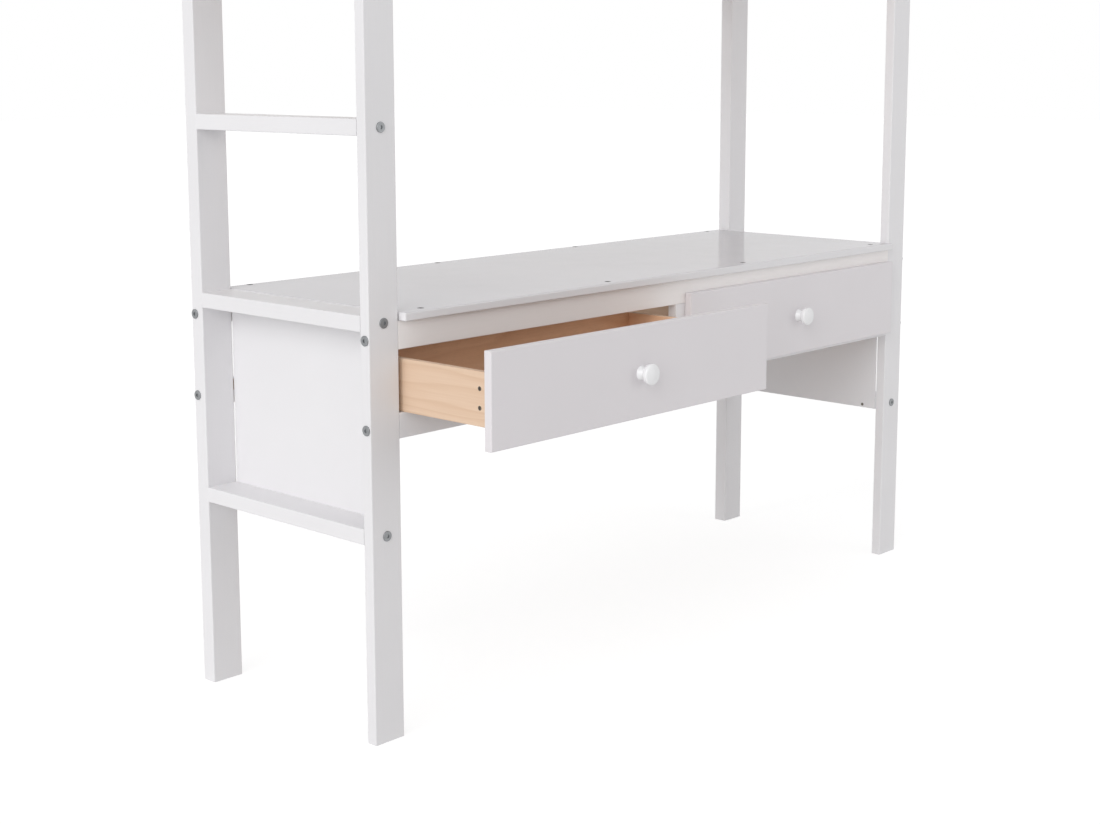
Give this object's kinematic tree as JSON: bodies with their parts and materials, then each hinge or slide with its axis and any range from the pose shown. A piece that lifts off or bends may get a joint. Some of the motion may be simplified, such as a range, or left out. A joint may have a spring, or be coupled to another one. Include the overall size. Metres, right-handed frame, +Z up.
{
  "type": "loft bed",
  "caption": "High bed frame on square-cut posts with a slatted deck and guard rails above a full-length writing desk with drawers, and ladder rungs at one end.",
  "frame": {"origin": "middle of the whole outline on the floor, with the left drawer open as at rest", "axes": "+Z up along the posts, +X along the bed to the end without the ladder, +Y from the drawer side to the back"},
  "size_m": [1.671, 0.7444, 1.8],
  "materials": {
    "white_lacquer": "satin white lacquer on wood",
    "desk_lacquer": "glossy white lacquer on board",
    "panel_lacquer": "satin white lacquer on thin fibreboard",
    "drawer_lacquer": "satin white lacquer on board",
    "knob_lacquer": "glossy white lacquer on turned wood",
    "pine": "bare planed pine",
    "hardboard": "bare brown hardboard",
    "beech": "bare fluted beech",
    "zinc_steel": "zinc-plated steel",
    "dark_steel": "dark bronzed steel"
  },
  "bodies": {
    "frame": {"front_left_post": "white_lacquer", "front_right_post": "white_lacquer", "back_left_post": "white_lacquer", "back_right_post": "white_lacquer", "ladder_rung_low": "white_lacquer", "ladder_rung_desk": "white_lacquer", "ladder_rung_upper": "white_lacquer", "right_cross_rail": "white_lacquer", "front_upper_rail": "white_lacquer", "front_lower_rail": "white_lacquer", "back_upper_rail": "white_lacquer", "back_lower_rail": "white_lacquer", "centre_stile": "white_lacquer", "front_deck_rail": "white_lacquer", "back_deck_rail": "white_lacquer", "left_deck_rail": "white_lacquer", "right_deck_rail": "white_lacquer", "front_lower_guard": "white_lacquer", "front_upper_guard": "white_lacquer", "back_lower_guard": "white_lacquer", "back_upper_guard": "white_lacquer", "right_lower_guard": "white_lacquer", "right_upper_guard": "white_lacquer", "desk_top": "desk_lacquer", "left_side_panel": "panel_lacquer", "right_side_panel": "panel_lacquer", "left_outer_runner": "pine", "left_inner_runner": "pine", "right_outer_runner": "pine", "right_inner_runner": "pine", "front_slat_support": "pine", "back_slat_support": "pine", "slat_1": "pine", "slat_2": "pine", "slat_3": "pine", "slat_4": "pine", "slat_5": "pine", "slat_6": "pine", "slat_7": "pine", "slat_8": "pine", "frame_bolts": "zinc_steel", "barrel_nuts": "zinc_steel", "joint_dowels": "beech", "desk_screws": "zinc_steel", "panel_screws": "dark_steel", "deck_screws": "zinc_steel"},
    "left_drawer": {"left_drawer_front": "drawer_lacquer", "left_drawer_inner_side": "pine", "left_drawer_outer_side": "pine", "left_drawer_back": "pine", "left_drawer_bottom": "hardboard", "left_drawer_knob": "knob_lacquer", "left_drawer_fixings": "dark_steel"},
    "right_drawer": {"right_drawer_front": "drawer_lacquer", "right_drawer_inner_side": "pine", "right_drawer_outer_side": "pine", "right_drawer_back": "pine", "right_drawer_bottom": "hardboard", "right_drawer_knob": "knob_lacquer", "right_drawer_fixings": "dark_steel"}
  },
  "joints": [
    {"name": "left_drawer_slide", "type": "slide", "parent": "frame", "child": "left_drawer", "axis": [0, -1, 0], "range_m": [-0.203, 0.047]},
    {"name": "right_drawer_slide", "type": "slide", "parent": "frame", "child": "right_drawer", "axis": [0, -1, 0], "range_m": [0, 0.25]}
  ]
}
